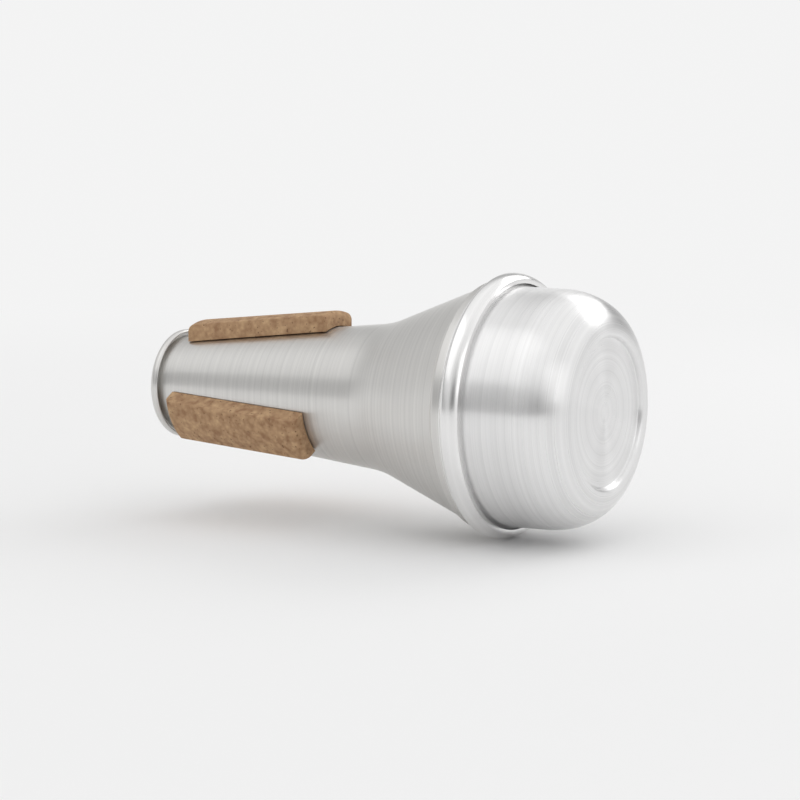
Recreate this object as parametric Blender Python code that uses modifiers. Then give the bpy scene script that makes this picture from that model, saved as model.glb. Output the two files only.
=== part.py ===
"""Trumpet straight mute: a spun aluminium body, a drawn cap, a crimped ring and three cork strips.

Units are metres. Each metal piece is turned about one axis, from a profile of radius and height.
Heights are taken from the seam, where the ring's hem meets the body, and rise towards the cap.
The axis lies along world X with the cap at +X, and the origin is the centre of the cap's flat end.
"""

import math

import bmesh
import bpy
from mathutils import Matrix

# Sheet and fit
BODY_SHEET = 0.0008
CAP_SHEET = 0.0008
RING_SHEET = 0.0007
CLEARANCE = 0.0003

# Body: flange and seat under the ring, then the flare, the waist, the neck and the rolled mouth
BODY_FLANGE_WIDTH = 0.00105
BODY_FLANGE_RISE = 0.0012
BODY_FLANGE_BEND = 0.0004
SEAT_RADIUS = 0.0311
SEAT_LENGTH = 0.0034
SEAT_STEP = 0.0008
JOGGLE_LENGTH = 0.0007
JOGGLE_INNER_BEND = 0.00015
FLARE_HALF_ANGLE = math.radians(21.3)
FLARE_LENGTH = 0.0286
WAIST_BLEND_RADIUS = 0.030
NECK_LENGTH = 0.0666
MOUTH_RADIUS = 0.0125
BEAD_BORE_RADIUS = 0.0006
BEAD_WRAP = math.radians(235)

# Cap: flange under the ring, wall, shoulder, crest and recessed end
CAP_BASE_FILLET = 0.0016
CAP_INSET = 0.00125
CAP_DRAFT = 0.0002
FLANGE_PAST_FILLET = 1.05
CAP_CREST_HEIGHT = 0.0289
SHOULDER_DEPTH = 0.0140
CREST_WIDTH = 0.0005
CREST_INNER_BEND = 0.0001
RECESS_RADIUS = 0.0180
RECESS_DEPTH = 0.00135
RECESS_WALL_ANGLE = math.radians(75)
RECESS_FILLET = 0.0005

# Ring: lip round the cap, crown over both flanges, hem on the seat
GROOVE_WIDTH = 0.00075
LIP_FACE_WIDTH = 0.0011
LIP_EDGE_BREAK = 0.00012
CROWN_HEIGHT = 0.0010
CROWN_SWEEP = math.radians(60)
CROWN_INNER_BEND = 0.0003
HEM_SLOPE = math.radians(60)
HEM_BEND = 0.00035
HEM_LAND = 0.00015

# Cork strips
CORK_COUNT = 3
CORK_FIRST_ANGLE = math.pi
CORK_LENGTH = 0.044
CORK_WIDTH = 0.012
CORK_THICKNESS = 0.0040
CORK_FROM_BEAD = 0.0055
CORK_END_ROUND = 0.0018
CORK_SIDE_ROUND = 0.0006
CUTTER_PAST_CORK = 1.5

# Fineness of the facets
TURN_STEPS = 52
BEND_STEP = math.radians(26)
BLEND_STEP = math.radians(4)
SHOULDER_SEGMENTS = 8
CROWN_SEGMENTS = 4
TUCK_SEGMENTS = 3
BEAD_SEGMENTS = 7
SHARP_ANGLE = math.radians(33)
CORK_SHARP_ANGLE = math.radians(50)
AXIS_MERGE = 0.00001

# Body sizes that follow
FLARE_TOP_RADIUS = SEAT_RADIUS - SEAT_STEP
WAIST_RADIUS = FLARE_TOP_RADIUS - FLARE_LENGTH * math.tan(FLARE_HALF_ANGLE)
WAIST_HEIGHT = -SEAT_LENGTH - FLARE_LENGTH
BEAD_HEIGHT = WAIST_HEIGHT - NECK_LENGTH
NECK_HALF_ANGLE = math.atan2(WAIST_RADIUS - MOUTH_RADIUS, NECK_LENGTH)
BODY_FLANGE_RADIUS = SEAT_RADIUS + BODY_FLANGE_WIDTH
BODY_FLANGE_TOP = BODY_FLANGE_RISE + BODY_SHEET

# Ring and cap sizes that follow
CAP_WALL_RADIUS = SEAT_RADIUS - CAP_INSET
LIP_INNER_RADIUS = CAP_WALL_RADIUS + GROOVE_WIDTH
LIP_OUTER_RADIUS = LIP_INNER_RADIUS + LIP_FACE_WIDTH
CROWN_RADIUS = BODY_FLANGE_RADIUS + CLEARANCE + RING_SHEET
HEM_RADIUS = SEAT_RADIUS + CLEARANCE + RING_SHEET
CAP_FLANGE_TOP = BODY_FLANGE_TOP + CLEARANCE + CAP_SHEET
CAP_FLANGE_RADIUS = LIP_OUTER_RADIUS - CLEARANCE / 2
FILLET_UNDER_LIP = max(CAP_BASE_FILLET - GROOVE_WIDTH, 0.0)
FILLET_RISE = CAP_BASE_FILLET - math.sqrt(CAP_BASE_FILLET**2 - FILLET_UNDER_LIP**2)
LIP_HEIGHT = CAP_FLANGE_TOP + FILLET_RISE + CLEARANCE + RING_SHEET
RECESS_HEIGHT = CAP_CREST_HEIGHT - RECESS_DEPTH


def arc(centre, half_axes, start, end, segments):
    """Points on an ellipse from angle start to angle end, where 0 points straight outward."""
    angles = [start + (end - start) * i / segments for i in range(segments + 1)]
    return [
        (centre[0] + half_axes[0] * math.cos(angle), centre[1] + half_axes[1] * math.sin(angle))
        for angle in angles
    ]


def unit(start, end):
    length = math.dist(start, end)
    return ((end[0] - start[0]) / length, (end[1] - start[1]) / length)


def bend(before, corner, after, radius, step=BEND_STEP):
    """The corner of a profile as an arc that is tangent to both of its lines."""
    into = unit(before, corner)
    out = unit(corner, after)
    turn = math.atan2(into[0] * out[1] - into[1] * out[0], into[0] * out[0] + into[1] * out[1])
    reach = radius * math.tan(abs(turn) / 2)
    first = (corner[0] - into[0] * reach, corner[1] - into[1] * reach)
    side = math.copysign(radius, turn)
    centre = (first[0] - into[1] * side, first[1] + into[0] * side)
    start = math.atan2(first[1] - centre[1], first[0] - centre[0])
    segments = max(2, math.ceil(abs(turn) / step))
    return arc(centre, (radius, radius), start, start + turn, segments)


def neck_radius(height):
    return MOUTH_RADIUS + (height - BEAD_HEIGHT) * math.tan(NECK_HALF_ANGLE)


def body_profile():
    """Outer side of the body, from the rim of its flange to the edge rolled up at its mouth."""
    flange_rim = (BODY_FLANGE_RADIUS, BODY_FLANGE_RISE)
    flange_root = (SEAT_RADIUS, BODY_FLANGE_RISE)
    seat_end = (SEAT_RADIUS, -SEAT_LENGTH)
    joggle_drop = JOGGLE_LENGTH * math.tan(FLARE_HALF_ANGLE)
    joggle_end = (FLARE_TOP_RADIUS - joggle_drop, -SEAT_LENGTH - JOGGLE_LENGTH)
    waist = (WAIST_RADIUS, WAIST_HEIGHT)
    mouth = (MOUTH_RADIUS, BEAD_HEIGHT)
    joggle_bend = BODY_SHEET + JOGGLE_INNER_BEND
    bead_centre = (MOUTH_RADIUS + BEAD_BORE_RADIUS * math.cos(NECK_HALF_ANGLE), BEAD_HEIGHT)
    bead_half_axes = (BEAD_BORE_RADIUS, BEAD_BORE_RADIUS)
    bead_start = math.pi - NECK_HALF_ANGLE
    return [
        flange_rim,
        *bend(flange_rim, flange_root, seat_end, BODY_FLANGE_BEND),
        *bend(flange_root, seat_end, joggle_end, joggle_bend),
        *bend(seat_end, joggle_end, waist, joggle_bend),
        *bend(joggle_end, waist, mouth, WAIST_BLEND_RADIUS, BLEND_STEP),
        *arc(bead_centre, bead_half_axes, bead_start, bead_start + BEAD_WRAP, BEAD_SEGMENTS),
    ]


def cap_profile():
    """Outer side of the cap, from the middle of its recessed end to the rim of its flange."""
    end_centre = (0.0, RECESS_HEIGHT)
    crest_bend = CAP_SHEET + CREST_INNER_BEND
    half_wall_turn = math.tan(RECESS_WALL_ANGLE / 2)
    floor_corner = (RECESS_RADIUS + RECESS_FILLET * half_wall_turn, RECESS_HEIGHT)
    crest_corner = (floor_corner[0] + RECESS_DEPTH / math.tan(RECESS_WALL_ANGLE), CAP_CREST_HEIGHT)
    crest_outer = (crest_corner[0] + crest_bend * half_wall_turn + CREST_WIDTH, CAP_CREST_HEIGHT)
    shoulder_foot = (CAP_WALL_RADIUS - CAP_DRAFT, CAP_CREST_HEIGHT - SHOULDER_DEPTH)
    shoulder_centre = (crest_outer[0], shoulder_foot[1])
    shoulder_half_axes = (shoulder_foot[0] - crest_outer[0], SHOULDER_DEPTH)
    wall_foot = (CAP_WALL_RADIUS, CAP_FLANGE_TOP)
    least_flange = CAP_WALL_RADIUS + FLANGE_PAST_FILLET * CAP_BASE_FILLET
    flange_rim = (max(CAP_FLANGE_RADIUS, least_flange), CAP_FLANGE_TOP)
    return [
        end_centre,
        *bend(end_centre, floor_corner, crest_corner, RECESS_FILLET),
        *bend(floor_corner, crest_corner, crest_outer, crest_bend),
        *arc(shoulder_centre, shoulder_half_axes, math.pi / 2, 0, SHOULDER_SEGMENTS),
        *bend(shoulder_foot, wall_foot, flange_rim, CAP_BASE_FILLET),
        flange_rim,
    ]


def ring_profile():
    """Outer side of the ring, from the inner edge of its lip, over the crown, to its hem."""
    reach = (CROWN_RADIUS - LIP_OUTER_RADIUS) / (1 - math.cos(CROWN_SWEEP))
    rise = (LIP_HEIGHT - CROWN_HEIGHT) / math.sin(CROWN_SWEEP)
    crown_bend = RING_SHEET + CROWN_INNER_BEND
    crown = arc((CROWN_RADIUS - reach, CROWN_HEIGHT), (reach, rise), CROWN_SWEEP, 0, CROWN_SEGMENTS)
    tuck_centre = (CROWN_RADIUS - crown_bend, CROWN_HEIGHT)
    tuck = arc(tuck_centre, (crown_bend, crown_bend), 0, -HEM_SLOPE, TUCK_SEGMENTS)
    slope_top = tuck[-1]
    hem_corner = (HEM_RADIUS, slope_top[1] - (slope_top[0] - HEM_RADIUS) / math.tan(HEM_SLOPE))
    hem_end = (HEM_RADIUS, hem_corner[1] - HEM_BEND * math.tan(HEM_SLOPE / 2) - HEM_LAND)
    return [
        (LIP_INNER_RADIUS, LIP_HEIGHT),
        *crown[:-1],
        *tuck,
        *bend(slope_top, hem_corner, hem_end, HEM_BEND),
        hem_end,
    ]


def cork_profile():
    """Section of a cork strip along the neck: outer side downwards, then the side on the neck."""
    bottom = BEAD_HEIGHT + CORK_FROM_BEAD
    top = bottom + CORK_LENGTH
    outer_top = (neck_radius(top) + CLEARANCE + CORK_THICKNESS, top)
    outer_bottom = (neck_radius(bottom) + CLEARANCE + CORK_THICKNESS, bottom)
    inner_bottom = (neck_radius(bottom) + CLEARANCE, bottom)
    inner_top = (neck_radius(top) + CLEARANCE, top)
    return [
        *bend(inner_top, outer_top, outer_bottom, CORK_END_ROUND),
        *bend(outer_top, outer_bottom, inner_bottom, CORK_END_ROUND),
        inner_bottom,
        inner_top,
    ]


def metal(name, colour, roughness):
    return principled(name, colour, roughness, 1.0)


def principled(name, colour, roughness, metallic):
    material = bpy.data.materials.new(name)
    material.use_nodes = True
    shader = material.node_tree.nodes["Principled BSDF"]
    shader.inputs["Base Color"].default_value = (*colour, 1.0)
    shader.inputs["Roughness"].default_value = roughness
    shader.inputs["Metallic"].default_value = metallic
    material.diffuse_color = (*colour, 1.0)
    return material


def new_object(name, mesh, collection, parent):
    piece = bpy.data.objects.new(name, mesh)
    collection.objects.link(piece)
    piece.parent = parent
    return piece


def turned(name, profile, closed, collection, parent, material):
    """An object whose profile, in its own XZ plane, is turned about its Z axis."""
    points = [(radius, 0.0, height) for radius, height in profile]
    edges = [(i, i + 1) for i in range(len(points) - 1)]
    if closed:
        edges.append((len(points) - 1, 0))
    mesh = bpy.data.meshes.new(name)
    mesh.from_pydata(points, edges, [])
    mesh.materials.append(material)
    piece = new_object(name, mesh, collection, parent)
    screw = piece.modifiers.new("Turn", "SCREW")
    screw.axis = "Z"
    screw.angle = math.tau
    screw.steps = TURN_STEPS
    screw.render_steps = TURN_STEPS
    screw.use_merge_vertices = True
    screw.merge_threshold = AXIS_MERGE
    screw.use_smooth_shade = True
    return piece


def add_sheet(piece, thickness):
    """Gives a turned surface the thickness of its sheet, on the inner side."""
    sheet = piece.modifiers.new("Sheet", "SOLIDIFY")
    sheet.thickness = thickness
    sheet.offset = -1
    sheet.use_even_offset = True
    sheet.use_quality_normals = True


def add_bevel(piece, width, angle):
    edges = piece.modifiers.new("Edges", "BEVEL")
    edges.width = width
    edges.segments = 1
    edges.limit_method = "ANGLE"
    edges.angle_limit = angle


def add_shading(piece):
    piece.modifiers.new("Shading", "WEIGHTED_NORMAL")


def build_cone_body(collection, axis):
    material = metal("body_aluminium", (0.72, 0.71, 0.69), 0.34)
    body = turned("cone_body", body_profile(), False, collection, axis, material)
    add_sheet(body, BODY_SHEET)
    add_shading(body)


def build_end_cap(collection, axis):
    material = metal("cap_aluminium", (0.80, 0.79, 0.78), 0.30)
    cap = turned("end_cap", cap_profile(), False, collection, axis, material)
    add_sheet(cap, CAP_SHEET)
    add_shading(cap)


def build_clamp_ring(collection, axis):
    material = metal("ring_aluminium", (0.83, 0.82, 0.82), 0.18)
    ring = turned("clamp_ring", ring_profile(), False, collection, axis, material)
    add_sheet(ring, RING_SHEET)
    add_bevel(ring, LIP_EDGE_BREAK, SHARP_ANGLE)
    add_shading(ring)


def cork_cutter(name, angle, collection, axis):
    """A box as wide as a strip, from the axis outward, that keeps one strip of a cork sleeve."""
    height = BEAD_HEIGHT + CORK_FROM_BEAD + CORK_LENGTH / 2
    reach = 2 * (neck_radius(height) + CORK_THICKNESS)
    mesh = bpy.data.meshes.new(name)
    shape = bmesh.new()
    bmesh.ops.create_cube(shape, size=1.0)
    size = Matrix.Diagonal((reach, CORK_WIDTH, CUTTER_PAST_CORK * CORK_LENGTH, 1.0))
    place = Matrix.Translation((reach / 2, 0.0, height))
    bmesh.ops.transform(shape, matrix=place @ size, verts=shape.verts)
    shape.to_mesh(mesh)
    shape.free()
    cutter = new_object(name, mesh, collection, axis)
    cutter.rotation_euler = (0.0, 0.0, angle)
    cutter.hide_render = True
    cutter.display_type = "WIRE"
    return cutter


def build_cork_strips(collection, cutters, axis):
    material = principled("cork", (0.55, 0.36, 0.20), 0.85, 0.0)
    for i in range(CORK_COUNT):
        angle = CORK_FIRST_ANGLE + math.tau * i / CORK_COUNT
        strip = turned(f"cork_strip_{i + 1}", cork_profile(), True, collection, axis, material)
        strip.rotation_euler = (0.0, 0.0, angle)
        cut = strip.modifiers.new("Strip", "BOOLEAN")
        cut.operation = "INTERSECT"
        cut.solver = "EXACT"
        cut.object = cork_cutter(f"cork_cutter_{i + 1}", angle, cutters, axis)
        add_bevel(strip, CORK_SIDE_ROUND, CORK_SHARP_ANGLE)


def main():
    for old in list(bpy.data.objects):
        bpy.data.objects.remove(old)
    collection = bpy.data.collections.new("trumpet_straight_mute")
    cutters = bpy.data.collections.new("cutters")
    bpy.context.scene.collection.children.link(collection)
    bpy.context.scene.collection.children.link(cutters)
    axis = new_object("mute_axis", None, collection, None)
    axis.location = (-RECESS_HEIGHT, 0.0, 0.0)
    axis.rotation_euler = (0.0, math.pi / 2, 0.0)
    build_cone_body(collection, axis)
    build_end_cap(collection, axis)
    build_clamp_ring(collection, axis)
    build_cork_strips(collection, cutters, axis)


main()
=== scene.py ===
"""Trumpet straight mute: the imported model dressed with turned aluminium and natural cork."""

import math

import bmesh
import bpy
from mathutils import Matrix, Vector


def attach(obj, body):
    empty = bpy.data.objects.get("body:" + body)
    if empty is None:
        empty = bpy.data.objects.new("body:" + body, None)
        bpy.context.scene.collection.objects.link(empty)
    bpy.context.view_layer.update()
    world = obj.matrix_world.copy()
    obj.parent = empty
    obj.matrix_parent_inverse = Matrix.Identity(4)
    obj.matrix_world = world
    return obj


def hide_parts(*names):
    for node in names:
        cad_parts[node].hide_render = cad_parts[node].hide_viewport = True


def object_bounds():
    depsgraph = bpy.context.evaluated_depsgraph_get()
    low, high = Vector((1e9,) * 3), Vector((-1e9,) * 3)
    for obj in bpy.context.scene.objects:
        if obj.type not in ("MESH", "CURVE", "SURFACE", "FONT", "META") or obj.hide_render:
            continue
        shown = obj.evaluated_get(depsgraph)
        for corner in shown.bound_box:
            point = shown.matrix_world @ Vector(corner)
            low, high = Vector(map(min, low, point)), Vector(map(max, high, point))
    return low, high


# The camera, as fitted to the photograph: lens and sensor in millimetres, the seam in metres
CAMERA_AZIMUTH = math.radians(31.34)
CAMERA_ELEVATION = math.radians(6.86)
CAMERA_LENS = 104.67
SENSOR_WIDTH = 36.0
SEAM_IN_CAMERA = (0.026207, 0.001421, 0.578889)

# Metal finishes: colour, roughness, anisotropy and depth of the turned lines
BODY_FINISH = ((0.77, 0.76, 0.74), 0.34, 0.8, 0.30)
CAP_FINISH = ((0.91, 0.907, 0.905), 0.33, 0.92, 0.14)
RING_FINISH = ((0.93, 0.925, 0.92), 0.22, 0.4, 0.08)

# Turned lines: scale and detail of each noise, and how far it moves tone and roughness
NOISE_RANGE = (0.25, 0.75)
TURN_LINES = (9000.0, 3.0)
WORN_BANDS = (900.0, 2.0)
CLOUDS = (45.0, 3.0)
RADIUS_SHARE = 0.6
LINE_TONE = (-0.5, 0.5)
BAND_TONE = (0.1, 0.9)
LINE_DARKNESS = 0.86
LINE_ROUGHNESS = 0.05
CLOUD_ROUGHNESS = 0.04
LINE_BUMP = 0.00002
ACROSS_LINES = 0.25

# Floor, which fades into the backdrop's tone between two distances from the origin
FLOOR_DROP = 0.0002
FLOOR_SIZE = 40.0
FLOOR_ALBEDO = (0.90, 0.90, 0.90)
FLOOR_ROUGHNESS = 0.9
FLOOR_FADE = (0.22, 0.75)
PALE = (0.90, 0.90, 0.90)

# Studio: dimmer on the side the photograph was taken from and in one band, as position and grey
STUDIO_LIGHT = 1.0
TOWARDS_CAMERA = (0.516, -0.848, 0.12)
CAMERA_SIDE = ((0.30, 1.0), (0.80, 0.85), (0.94, 0.65), (0.99, 0.20))
DIM_BAND_ACROSS = (0.545, -0.217, 0.810)
DIM_BAND = ((0.05, 0.38), (0.26, 0.80), (0.50, 1.0))

# Lamps: name, place, size in metres and power in watts, all turned to one point on the mute
LAMP_TARGET = (-0.05, 0.0, 0.0)
LAMPS = (
    ("key", (-0.35, -0.55, 0.75), (0.9, 0.9), 0.8),
    ("fill", (0.75, -0.35, 0.35), (0.5, 0.5), 0.4),
    ("rim", (0.15, 0.75, 0.55), (0.7, 0.4), 1.2),
)

# Cork look
CORK_LIGHT = (0.60, 0.40, 0.225)
CORK_DARK = (0.30, 0.165, 0.085)
CORK_FLECK = (0.13, 0.065, 0.03)
CORK_TONE_STOPS = (0.05, 0.95)
GRANULE_SCALE = 800.0
GRANULE_WEIGHT = 0.45
CORK_SHADE = (420.0, 5.0)
CORK_SHADE_TONE = (0.0, 0.75)
FLECKS = (1300.0, 2.0)
FLECK_MASK = ((0.66, 0.0), (0.72, 1.0))
CORK_ROUGHNESS = 0.86
CORK_BUMP_STRENGTH = 0.6
CORK_BUMP = 0.00012

# Sheet and fit
BODY_SHEET = 0.0008
CAP_SHEET = 0.0008
RING_SHEET = 0.0007
CLEARANCE = 0.0003

# Body: flange and seat under the ring, then the flare, the waist, the neck and the rolled mouth
BODY_FLANGE_WIDTH = 0.00105
BODY_FLANGE_RISE = 0.0012
BODY_FLANGE_BEND = 0.0004
SEAT_RADIUS = 0.0311
SEAT_LENGTH = 0.0034
SEAT_STEP = 0.0008
JOGGLE_LENGTH = 0.0007
JOGGLE_INNER_BEND = 0.00015
FLARE_HALF_ANGLE = math.radians(21.3)
FLARE_LENGTH = 0.0286
WAIST_BLEND_RADIUS = 0.030
NECK_LENGTH = 0.0666
MOUTH_RADIUS = 0.0125
BEAD_BORE_RADIUS = 0.0006
BEAD_WRAP = math.radians(235)

# Cap: flange under the ring, wall, shoulder, crest and recessed end
CAP_BASE_FILLET = 0.0016
CAP_INSET = 0.00125
CAP_DRAFT = 0.0002
FLANGE_PAST_FILLET = 1.05
CAP_CREST_HEIGHT = 0.0289
SHOULDER_DEPTH = 0.0140
CREST_WIDTH = 0.0005
CREST_INNER_BEND = 0.0001
RECESS_RADIUS = 0.0180
RECESS_DEPTH = 0.00135
RECESS_WALL_ANGLE = math.radians(75)
RECESS_FILLET = 0.0005

# Ring: lip round the cap, crown over both flanges, hem on the seat
GROOVE_WIDTH = 0.00075
LIP_FACE_WIDTH = 0.0011
LIP_EDGE_BREAK = 0.00012
CROWN_HEIGHT = 0.0010
CROWN_SWEEP = math.radians(60)
CROWN_INNER_BEND = 0.0003
HEM_SLOPE = math.radians(60)
HEM_BEND = 0.00035
HEM_LAND = 0.00015

# Cork strips
CORK_COUNT = 3
CORK_FIRST_ANGLE = math.pi
CORK_LENGTH = 0.044
CORK_WIDTH = 0.012
CORK_THICKNESS = 0.0040
CORK_FROM_BEAD = 0.0055
CORK_END_ROUND = 0.0018
CORK_SIDE_ROUND = 0.0006
CUTTER_PAST_CORK = 1.5

# Fineness of the facets
TURN_STEPS = 176
BEND_STEP = math.radians(9)
BLEND_STEP = math.radians(1.5)
SHOULDER_SEGMENTS = 24
CROWN_SEGMENTS = 12
TUCK_SEGMENTS = 8
BEAD_SEGMENTS = 20
SHARP_ANGLE = math.radians(33)
CORK_SHARP_ANGLE = math.radians(50)
EDGE_SEGMENTS = 3
AXIS_MERGE = 0.00001

# Body sizes that follow
FLARE_TOP_RADIUS = SEAT_RADIUS - SEAT_STEP
WAIST_RADIUS = FLARE_TOP_RADIUS - FLARE_LENGTH * math.tan(FLARE_HALF_ANGLE)
WAIST_HEIGHT = -SEAT_LENGTH - FLARE_LENGTH
BEAD_HEIGHT = WAIST_HEIGHT - NECK_LENGTH
NECK_HALF_ANGLE = math.atan2(WAIST_RADIUS - MOUTH_RADIUS, NECK_LENGTH)
BODY_FLANGE_RADIUS = SEAT_RADIUS + BODY_FLANGE_WIDTH
BODY_FLANGE_TOP = BODY_FLANGE_RISE + BODY_SHEET

# Ring and cap sizes that follow
CAP_WALL_RADIUS = SEAT_RADIUS - CAP_INSET
LIP_INNER_RADIUS = CAP_WALL_RADIUS + GROOVE_WIDTH
LIP_OUTER_RADIUS = LIP_INNER_RADIUS + LIP_FACE_WIDTH
CROWN_RADIUS = BODY_FLANGE_RADIUS + CLEARANCE + RING_SHEET
HEM_RADIUS = SEAT_RADIUS + CLEARANCE + RING_SHEET
CAP_FLANGE_TOP = BODY_FLANGE_TOP + CLEARANCE + CAP_SHEET
CAP_FLANGE_RADIUS = LIP_OUTER_RADIUS - CLEARANCE / 2
FILLET_UNDER_LIP = max(CAP_BASE_FILLET - GROOVE_WIDTH, 0.0)
FILLET_RISE = CAP_BASE_FILLET - math.sqrt(CAP_BASE_FILLET**2 - FILLET_UNDER_LIP**2)
LIP_HEIGHT = CAP_FLANGE_TOP + FILLET_RISE + CLEARANCE + RING_SHEET
RECESS_HEIGHT = CAP_CREST_HEIGHT - RECESS_DEPTH


def arc(centre, half_axes, start, end, segments):
    """Points on an ellipse from angle start to angle end, where 0 points straight outward."""
    angles = [start + (end - start) * i / segments for i in range(segments + 1)]
    return [
        (centre[0] + half_axes[0] * math.cos(angle), centre[1] + half_axes[1] * math.sin(angle))
        for angle in angles
    ]


def unit(start, end):
    length = math.dist(start, end)
    return ((end[0] - start[0]) / length, (end[1] - start[1]) / length)


def bend(before, corner, after, radius, step=BEND_STEP):
    """The corner of a profile as an arc that is tangent to both of its lines."""
    into = unit(before, corner)
    out = unit(corner, after)
    turn = math.atan2(into[0] * out[1] - into[1] * out[0], into[0] * out[0] + into[1] * out[1])
    reach = radius * math.tan(abs(turn) / 2)
    first = (corner[0] - into[0] * reach, corner[1] - into[1] * reach)
    side = math.copysign(radius, turn)
    centre = (first[0] - into[1] * side, first[1] + into[0] * side)
    start = math.atan2(first[1] - centre[1], first[0] - centre[0])
    segments = max(2, math.ceil(abs(turn) / step))
    return arc(centre, (radius, radius), start, start + turn, segments)


def neck_radius(height):
    return MOUTH_RADIUS + (height - BEAD_HEIGHT) * math.tan(NECK_HALF_ANGLE)


def body_profile():
    """Outer side of the body, from the rim of its flange to the edge rolled up at its mouth."""
    flange_rim = (BODY_FLANGE_RADIUS, BODY_FLANGE_RISE)
    flange_root = (SEAT_RADIUS, BODY_FLANGE_RISE)
    seat_end = (SEAT_RADIUS, -SEAT_LENGTH)
    joggle_drop = JOGGLE_LENGTH * math.tan(FLARE_HALF_ANGLE)
    joggle_end = (FLARE_TOP_RADIUS - joggle_drop, -SEAT_LENGTH - JOGGLE_LENGTH)
    waist = (WAIST_RADIUS, WAIST_HEIGHT)
    mouth = (MOUTH_RADIUS, BEAD_HEIGHT)
    joggle_bend = BODY_SHEET + JOGGLE_INNER_BEND
    bead_centre = (MOUTH_RADIUS + BEAD_BORE_RADIUS * math.cos(NECK_HALF_ANGLE), BEAD_HEIGHT)
    bead_half_axes = (BEAD_BORE_RADIUS, BEAD_BORE_RADIUS)
    bead_start = math.pi - NECK_HALF_ANGLE
    return [
        flange_rim,
        *bend(flange_rim, flange_root, seat_end, BODY_FLANGE_BEND),
        *bend(flange_root, seat_end, joggle_end, joggle_bend),
        *bend(seat_end, joggle_end, waist, joggle_bend),
        *bend(joggle_end, waist, mouth, WAIST_BLEND_RADIUS, BLEND_STEP),
        *arc(bead_centre, bead_half_axes, bead_start, bead_start + BEAD_WRAP, BEAD_SEGMENTS),
    ]


def cap_profile():
    """Outer side of the cap, from the middle of its recessed end to the rim of its flange."""
    end_centre = (0.0, RECESS_HEIGHT)
    crest_bend = CAP_SHEET + CREST_INNER_BEND
    half_wall_turn = math.tan(RECESS_WALL_ANGLE / 2)
    floor_corner = (RECESS_RADIUS + RECESS_FILLET * half_wall_turn, RECESS_HEIGHT)
    crest_corner = (floor_corner[0] + RECESS_DEPTH / math.tan(RECESS_WALL_ANGLE), CAP_CREST_HEIGHT)
    crest_outer = (crest_corner[0] + crest_bend * half_wall_turn + CREST_WIDTH, CAP_CREST_HEIGHT)
    shoulder_foot = (CAP_WALL_RADIUS - CAP_DRAFT, CAP_CREST_HEIGHT - SHOULDER_DEPTH)
    shoulder_centre = (crest_outer[0], shoulder_foot[1])
    shoulder_half_axes = (shoulder_foot[0] - crest_outer[0], SHOULDER_DEPTH)
    wall_foot = (CAP_WALL_RADIUS, CAP_FLANGE_TOP)
    least_flange = CAP_WALL_RADIUS + FLANGE_PAST_FILLET * CAP_BASE_FILLET
    flange_rim = (max(CAP_FLANGE_RADIUS, least_flange), CAP_FLANGE_TOP)
    return [
        end_centre,
        *bend(end_centre, floor_corner, crest_corner, RECESS_FILLET),
        *bend(floor_corner, crest_corner, crest_outer, crest_bend),
        *arc(shoulder_centre, shoulder_half_axes, math.pi / 2, 0, SHOULDER_SEGMENTS),
        *bend(shoulder_foot, wall_foot, flange_rim, CAP_BASE_FILLET),
        flange_rim,
    ]


def ring_profile():
    """Outer side of the ring, from the inner edge of its lip, over the crown, to its hem."""
    reach = (CROWN_RADIUS - LIP_OUTER_RADIUS) / (1 - math.cos(CROWN_SWEEP))
    rise = (LIP_HEIGHT - CROWN_HEIGHT) / math.sin(CROWN_SWEEP)
    crown_bend = RING_SHEET + CROWN_INNER_BEND
    crown = arc((CROWN_RADIUS - reach, CROWN_HEIGHT), (reach, rise), CROWN_SWEEP, 0, CROWN_SEGMENTS)
    tuck_centre = (CROWN_RADIUS - crown_bend, CROWN_HEIGHT)
    tuck = arc(tuck_centre, (crown_bend, crown_bend), 0, -HEM_SLOPE, TUCK_SEGMENTS)
    slope_top = tuck[-1]
    hem_corner = (HEM_RADIUS, slope_top[1] - (slope_top[0] - HEM_RADIUS) / math.tan(HEM_SLOPE))
    hem_end = (HEM_RADIUS, hem_corner[1] - HEM_BEND * math.tan(HEM_SLOPE / 2) - HEM_LAND)
    return [
        (LIP_INNER_RADIUS, LIP_HEIGHT),
        *crown[:-1],
        *tuck,
        *bend(slope_top, hem_corner, hem_end, HEM_BEND),
        hem_end,
    ]


def cork_profile():
    """Section of a cork strip along the neck: outer side downwards, then the side on the neck."""
    bottom = BEAD_HEIGHT + CORK_FROM_BEAD
    top = bottom + CORK_LENGTH
    outer_top = (neck_radius(top) + CLEARANCE + CORK_THICKNESS, top)
    outer_bottom = (neck_radius(bottom) + CLEARANCE + CORK_THICKNESS, bottom)
    inner_bottom = (neck_radius(bottom) + CLEARANCE, bottom)
    inner_top = (neck_radius(top) + CLEARANCE, top)
    return [
        *bend(inner_top, outer_top, outer_bottom, CORK_END_ROUND),
        *bend(outer_top, outer_bottom, inner_bottom, CORK_END_ROUND),
        inner_bottom,
        inner_top,
    ]


def new_material(name):
    material = bpy.data.materials.new(name)
    material.use_nodes = True
    return material, material.node_tree.nodes, material.node_tree.links


def ramp(nodes, links, value, stops):
    node = nodes.new("ShaderNodeValToRGB")
    while len(node.color_ramp.elements) < len(stops):
        node.color_ramp.elements.new(0.5)
    for element, (position, colour) in zip(node.color_ramp.elements, stops):
        element.position = position
        element.color = (*colour, 1.0)
    links.new(value, node.inputs["Fac"])
    return node.outputs["Color"]


def grey_ramp(nodes, links, value, stops):
    return ramp(nodes, links, value, [(position, (grey, grey, grey)) for position, grey in stops])


def total(nodes, links, first, second):
    node = nodes.new("ShaderNodeMath")
    node.operation = "ADD"
    links.new(first, node.inputs[0])
    links.new(second, node.inputs[1])
    return node.outputs["Value"]


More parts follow.
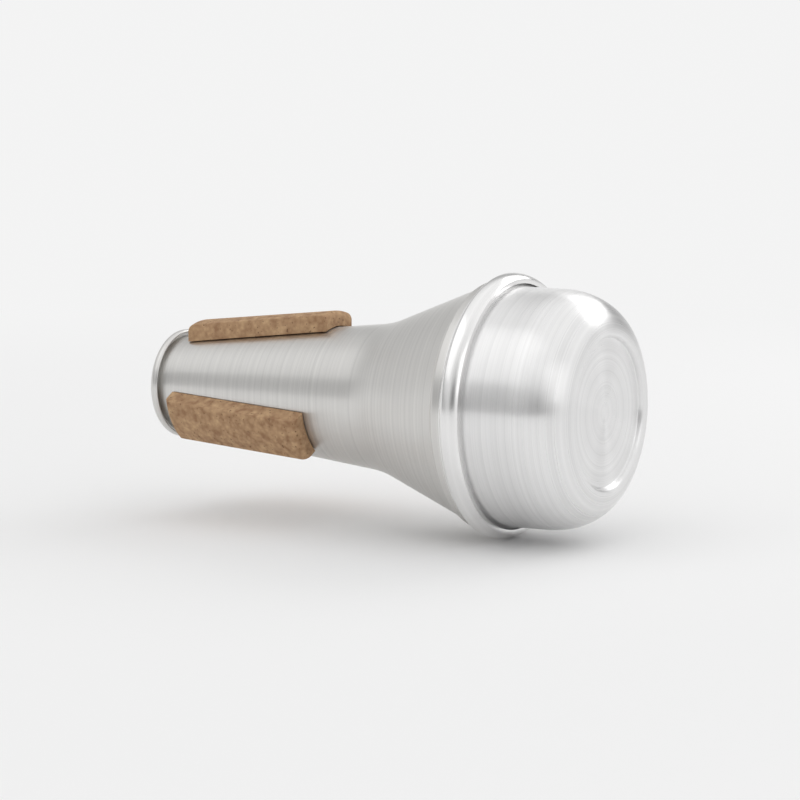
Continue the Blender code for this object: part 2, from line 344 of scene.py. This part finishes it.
def spread(nodes, links, value, low, high):
    """Maps a noise value onto the range low to high."""
    node = nodes.new("ShaderNodeMapRange")
    node.inputs["From Min"].default_value, node.inputs["From Max"].default_value = NOISE_RANGE
    node.inputs["To Min"].default_value = low
    node.inputs["To Max"].default_value = high
    links.new(value, node.inputs["Value"])
    return node.outputs["Result"]


def noise(nodes, links, vector, scale, detail, dimensions="3D"):
    node = nodes.new("ShaderNodeTexNoise")
    node.noise_dimensions = dimensions
    node.inputs["Scale"].default_value = scale
    node.inputs["Detail"].default_value = detail
    links.new(vector, node.inputs["W" if dimensions == "1D" else "Vector"])
    return node.outputs["Fac"]


def turned_coordinates(nodes, links):
    """Distance along the axis, distance from it, and the direction round it at each point."""
    position = nodes.new("ShaderNodeTexCoord").outputs["Object"]
    parts = nodes.new("ShaderNodeSeparateXYZ")
    links.new(position, parts.inputs["Vector"])
    flat = nodes.new("ShaderNodeCombineXYZ")
    links.new(parts.outputs["Y"], flat.inputs["Y"])
    links.new(parts.outputs["Z"], flat.inputs["Z"])
    radius = nodes.new("ShaderNodeVectorMath")
    radius.operation = "LENGTH"
    links.new(flat.outputs["Vector"], radius.inputs[0])
    round_axis = nodes.new("ShaderNodeVectorMath")
    round_axis.operation = "CROSS_PRODUCT"
    round_axis.inputs[0].default_value = (1.0, 0.0, 0.0)
    links.new(flat.outputs["Vector"], round_axis.inputs[1])
    tangent = nodes.new("ShaderNodeVectorMath")
    tangent.operation = "NORMALIZE"
    links.new(round_axis.outputs["Vector"], tangent.inputs[0])
    return position, parts.outputs["X"], radius.outputs["Value"], tangent.outputs["Vector"]


def turned_metal(name, colour, roughness, anisotropy, line_depth):
    """Aluminium with fine lines round the axis, left by the lathe or the spinning tool."""
    material, nodes, links = new_material(name)
    shader = nodes["Principled BSDF"]
    position, height, radius, tangent = turned_coordinates(nodes, links)
    mixed = nodes.new("ShaderNodeMath")
    mixed.operation = "MULTIPLY_ADD"
    mixed.inputs[1].default_value = RADIUS_SHARE
    links.new(radius, mixed.inputs[0])
    links.new(height, mixed.inputs[2])
    lines = noise(nodes, links, mixed.outputs["Value"], *TURN_LINES, "1D")
    bands = noise(nodes, links, mixed.outputs["Value"], *WORN_BANDS, "1D")
    cloud = noise(nodes, links, position, *CLOUDS)
    line_tone = spread(nodes, links, lines, *LINE_TONE)
    tone = total(nodes, links, line_tone, spread(nodes, links, bands, *BAND_TONE))
    darker = tuple(LINE_DARKNESS * c for c in colour)
    base = ramp(nodes, links, tone, [(0.0, darker), (1.0, colour)])
    links.new(base, shader.inputs["Base Color"])
    line_wear = spread(nodes, links, lines, -LINE_ROUGHNESS, LINE_ROUGHNESS)
    low, high = roughness - CLOUD_ROUGHNESS, roughness + CLOUD_ROUGHNESS
    worn = total(nodes, links, line_wear, spread(nodes, links, cloud, low, high))
    links.new(worn, shader.inputs["Roughness"])
    shader.inputs["Metallic"].default_value = 1.0
    shader.inputs["Anisotropic"].default_value = anisotropy
    shader.inputs["Anisotropic Rotation"].default_value = ACROSS_LINES
    links.new(tangent, shader.inputs["Tangent"])
    bump = nodes.new("ShaderNodeBump")
    bump.inputs["Strength"].default_value = line_depth
    bump.inputs["Distance"].default_value = LINE_BUMP
    links.new(lines, bump.inputs["Height"])
    links.new(bump.outputs["Normal"], shader.inputs["Normal"])
    return material


def cork_material():
    """Agglomerated cork: pale granules, darker joints and a few near-black flecks."""
    material, nodes, links = new_material("natural_cork")
    shader = nodes["Principled BSDF"]
    position = nodes.new("ShaderNodeTexCoord").outputs["Object"]
    granules = nodes.new("ShaderNodeTexVoronoi")
    granules.feature = "F1"
    granules.inputs["Scale"].default_value = GRANULE_SCALE
    links.new(position, granules.inputs["Vector"])
    shade = noise(nodes, links, position, *CORK_SHADE)
    fleck = noise(nodes, links, position, *FLECKS)
    tone = nodes.new("ShaderNodeMath")
    tone.operation = "MULTIPLY_ADD"
    tone.inputs[1].default_value = GRANULE_WEIGHT
    links.new(granules.outputs["Distance"], tone.inputs[0])
    links.new(spread(nodes, links, shade, *CORK_SHADE_TONE), tone.inputs[2])
    colours = list(zip(CORK_TONE_STOPS, (CORK_LIGHT, CORK_DARK)))
    base = ramp(nodes, links, tone.outputs["Value"], colours)
    mask = grey_ramp(nodes, links, fleck, FLECK_MASK)
    mix = nodes.new("ShaderNodeMix")
    mix.data_type = "RGBA"
    links.new(mask, mix.inputs["Factor"])
    links.new(base, mix.inputs["A"])
    mix.inputs["B"].default_value = (*CORK_FLECK, 1.0)
    links.new(mix.outputs["Result"], shader.inputs["Base Color"])
    shader.inputs["Roughness"].default_value = CORK_ROUGHNESS
    bump = nodes.new("ShaderNodeBump")
    bump.inputs["Strength"].default_value = CORK_BUMP_STRENGTH
    bump.inputs["Distance"].default_value = CORK_BUMP
    links.new(tone.outputs["Value"], bump.inputs["Height"])
    links.new(bump.outputs["Normal"], shader.inputs["Normal"])
    return material


def plain_object(name, mesh):
    piece = bpy.data.objects.new(name, mesh)
    bpy.context.scene.collection.objects.link(piece)
    return piece


def turned(name, profile, closed=False):
    """A profile of radius and height, turned about the mute's axis."""
    points = [(radius, 0.0, height) for radius, height in profile]
    edges = [(i, i + 1) for i in range(len(points) - 1)]
    if closed:
        edges.append((len(points) - 1, 0))
    mesh = bpy.data.meshes.new(name)
    mesh.from_pydata(points, edges, [])
    piece = plain_object(name, mesh)
    screw = piece.modifiers.new("Turn", "SCREW")
    screw.axis = "Z"
    screw.steps = TURN_STEPS
    screw.render_steps = TURN_STEPS
    screw.use_merge_vertices = True
    screw.merge_threshold = AXIS_MERGE
    return piece


def add_sheet(piece, thickness):
    sheet = piece.modifiers.new("Sheet", "SOLIDIFY")
    sheet.thickness = thickness
    sheet.offset = -1
    sheet.use_even_offset = True
    sheet.use_quality_normals = True


def add_bevel(piece, width, angle):
    edges = piece.modifiers.new("Edges", "BEVEL")
    edges.width = width
    edges.segments = EDGE_SEGMENTS
    edges.limit_method = "ANGLE"
    edges.angle_limit = angle


def settle(piece, turn_round_axis, node, material):
    """Applies the piece's modifiers, lays it along the axis and puts it on the frame."""
    graph = bpy.context.evaluated_depsgraph_get()
    graph.update()
    mesh = bpy.data.meshes.new_from_object(piece.evaluated_get(graph))
    lay = Matrix.Translation((-RECESS_HEIGHT, 0.0, 0.0)) @ Matrix.Rotation(math.pi / 2, 4, "Y")
    mesh.transform(lay @ Matrix.Rotation(turn_round_axis, 4, "Z"))
    mesh.shade_smooth()
    mesh.set_sharp_from_angle(angle=SHARP_ANGLE)
    mesh.materials.clear()
    mesh.materials.append(material)
    piece.modifiers.clear()
    piece.data = mesh
    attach(piece, "root")
    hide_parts(node)


def body_piece():
    piece = turned("spun_body", body_profile())
    add_sheet(piece, BODY_SHEET)
    material = turned_metal("body_spun", *BODY_FINISH)
    settle(piece, 0.0, "cone_body", material)


def cap_piece():
    piece = turned("turned_cap", cap_profile())
    add_sheet(piece, CAP_SHEET)
    material = turned_metal("cap_turned", *CAP_FINISH)
    settle(piece, 0.0, "end_cap", material)


def ring_piece():
    piece = turned("crimped_ring", ring_profile())
    add_sheet(piece, RING_SHEET)
    add_bevel(piece, LIP_EDGE_BREAK, SHARP_ANGLE)
    material = turned_metal("ring_burnished", *RING_FINISH)
    settle(piece, 0.0, "clamp_ring", material)


def strip_box(name):
    """A box as wide as a strip, from the axis outward, that keeps one strip of a cork sleeve."""
    height = BEAD_HEIGHT + CORK_FROM_BEAD + CORK_LENGTH / 2
    reach = 2 * (neck_radius(height) + CORK_THICKNESS)
    mesh = bpy.data.meshes.new(name)
    shape = bmesh.new()
    bmesh.ops.create_cube(shape, size=1.0)
    size = Matrix.Diagonal((reach, CORK_WIDTH, CUTTER_PAST_CORK * CORK_LENGTH, 1.0))
    place = Matrix.Translation((reach / 2, 0.0, height))
    bmesh.ops.transform(shape, matrix=place @ size, verts=shape.verts)
    shape.to_mesh(mesh)
    shape.free()
    return plain_object(name, mesh)


def cork_pieces():
    material = cork_material()
    for i in range(CORK_COUNT):
        piece = turned(f"cork_{i + 1}", cork_profile(), closed=True)
        box = strip_box(f"cork_box_{i + 1}")
        cut = piece.modifiers.new("Strip", "BOOLEAN")
        cut.operation = "INTERSECT"
        cut.solver = "EXACT"
        cut.object = box
        add_bevel(piece, CORK_SIDE_ROUND, CORK_SHARP_ANGLE)
        angle = CORK_FIRST_ANGLE + math.tau * i / CORK_COUNT
        settle(piece, angle, f"cork_strip_{i + 1}", material)
        bpy.data.objects.remove(box)


def along(nodes, links, direction, axis):
    dot = nodes.new("ShaderNodeVectorMath")
    dot.operation = "DOT_PRODUCT"
    dot.inputs[1].default_value = axis
    links.new(direction, dot.inputs[0])
    return dot.outputs["Value"]


def studio_shade(nodes, links):
    """Bright all round, dimmer on the photograph's side and in one band, and fixed in the room."""
    direction = nodes.new("ShaderNodeTexCoord").outputs["Generated"]
    facing = along(nodes, links, direction, TOWARDS_CAMERA)
    camera_side = grey_ramp(nodes, links, facing, CAMERA_SIDE)
    across = nodes.new("ShaderNodeMath")
    across.operation = "ABSOLUTE"
    links.new(along(nodes, links, direction, DIM_BAND_ACROSS), across.inputs[0])
    band = grey_ramp(nodes, links, across.outputs["Value"], DIM_BAND)
    product = nodes.new("ShaderNodeMix")
    product.data_type = "RGBA"
    product.blend_type = "MULTIPLY"
    product.inputs["Factor"].default_value = 1.0
    links.new(camera_side, product.inputs["A"])
    links.new(band, product.inputs["B"])
    return product.outputs["Result"]


def white_backdrop():
    """A pale studio for light and reflections, and an even near-white for camera rays alone."""
    world = bpy.data.worlds.new("pale_studio")
    bpy.context.scene.world = world
    world.use_nodes = True
    nodes, links = world.node_tree.nodes, world.node_tree.links
    background = nodes["Background"]
    background.inputs["Strength"].default_value = STUDIO_LIGHT
    links.new(studio_shade(nodes, links), background.inputs["Color"])
    white = nodes.new("ShaderNodeBackground")
    white.inputs["Color"].default_value = (*PALE, 1.0)
    white.inputs["Strength"].default_value = 1.0
    rays = nodes.new("ShaderNodeLightPath")
    mix = nodes.new("ShaderNodeMixShader")
    links.new(rays.outputs["Is Camera Ray"], mix.inputs["Fac"])
    links.new(background.outputs["Background"], mix.inputs[1])
    links.new(white.outputs["Background"], mix.inputs[2])
    links.new(mix.outputs["Shader"], nodes["World Output"].inputs["Surface"])


def floor(height):
    """A pale floor that takes the shadow and passes into the backdrop's tone away from the mute."""
    mesh = bpy.data.meshes.new("floor")
    half = FLOOR_SIZE / 2
    sides = ((-half, -half), (half, -half), (half, half), (-half, half))
    mesh.from_pydata([(x, y, height) for x, y in sides], [], [(0, 1, 2, 3)])
    piece = plain_object("floor", mesh)
    material, nodes, links = new_material("floor_pale")
    shader = nodes["Principled BSDF"]
    shader.inputs["Base Color"].default_value = (*FLOOR_ALBEDO, 1.0)
    shader.inputs["Roughness"].default_value = FLOOR_ROUGHNESS
    away = nodes.new("ShaderNodeVectorMath")
    away.operation = "LENGTH"
    links.new(nodes.new("ShaderNodeTexCoord").outputs["Object"], away.inputs[0])
    fade = nodes.new("ShaderNodeMapRange")
    fade.interpolation_type = "SMOOTHSTEP"
    fade.inputs["From Min"].default_value, fade.inputs["From Max"].default_value = FLOOR_FADE
    links.new(away.outputs["Value"], fade.inputs["Value"])
    glow = nodes.new("ShaderNodeEmission")
    glow.inputs["Color"].default_value = (*PALE, 1.0)
    mix = nodes.new("ShaderNodeMixShader")
    links.new(fade.outputs["Result"], mix.inputs["Fac"])
    links.new(shader.outputs["BSDF"], mix.inputs[1])
    links.new(glow.outputs["Emission"], mix.inputs[2])
    links.new(mix.outputs["Shader"], nodes["Material Output"].inputs["Surface"])
    mesh.materials.append(material)


def soft_lamp(name, place, size, power):
    data = bpy.data.lights.new(name, "AREA")
    data.shape = "RECTANGLE"
    data.size, data.size_y = size
    data.energy = power
    lamp = bpy.data.objects.new(name, data)
    bpy.context.scene.collection.objects.link(lamp)
    lamp.location = place
    towards = Vector(LAMP_TARGET) - Vector(place)
    lamp.rotation_euler = towards.to_track_quat("-Z", "Y").to_euler()


def camera():
    """The camera of the photograph: the seam's centre is where the fit put it in the picture."""
    a, e = CAMERA_AZIMUTH, CAMERA_ELEVATION
    right = Vector((math.cos(a), math.sin(a), 0.0))
    ahead = Vector((-math.sin(a) * math.cos(e), math.cos(a) * math.cos(e), -math.sin(e)))
    up = right.cross(ahead)
    seam = Vector((-RECESS_HEIGHT, 0.0, 0.0))
    x, y, z = SEAM_IN_CAMERA
    place = seam - x * right + y * up - z * ahead
    data = bpy.data.cameras.new("camera")
    data.lens = CAMERA_LENS
    data.sensor_width = SENSOR_WIDTH
    piece = bpy.data.objects.new("camera", data)
    bpy.context.scene.collection.objects.link(piece)
    turn = Matrix((right, up, -ahead)).transposed()
    piece.matrix_world = Matrix.Translation(place) @ turn.to_4x4()
    bpy.context.scene.camera = piece


def plain(box):
    return [list(corner) for corner in box]


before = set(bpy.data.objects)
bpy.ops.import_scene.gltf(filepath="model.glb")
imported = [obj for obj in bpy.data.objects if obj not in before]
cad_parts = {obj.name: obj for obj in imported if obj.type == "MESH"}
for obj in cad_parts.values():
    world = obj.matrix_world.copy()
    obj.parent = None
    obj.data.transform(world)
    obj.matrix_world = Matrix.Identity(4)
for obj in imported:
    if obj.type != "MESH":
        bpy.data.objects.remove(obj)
cad_box = plain(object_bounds())

body_piece()
cap_piece()
ring_piece()
cork_pieces()

white_backdrop()
floor(cad_box[0][2] - FLOOR_DROP)
for lamp in LAMPS:
    soft_lamp(*lamp)
camera()
bpy.context.scene.view_settings.view_transform = "Standard"
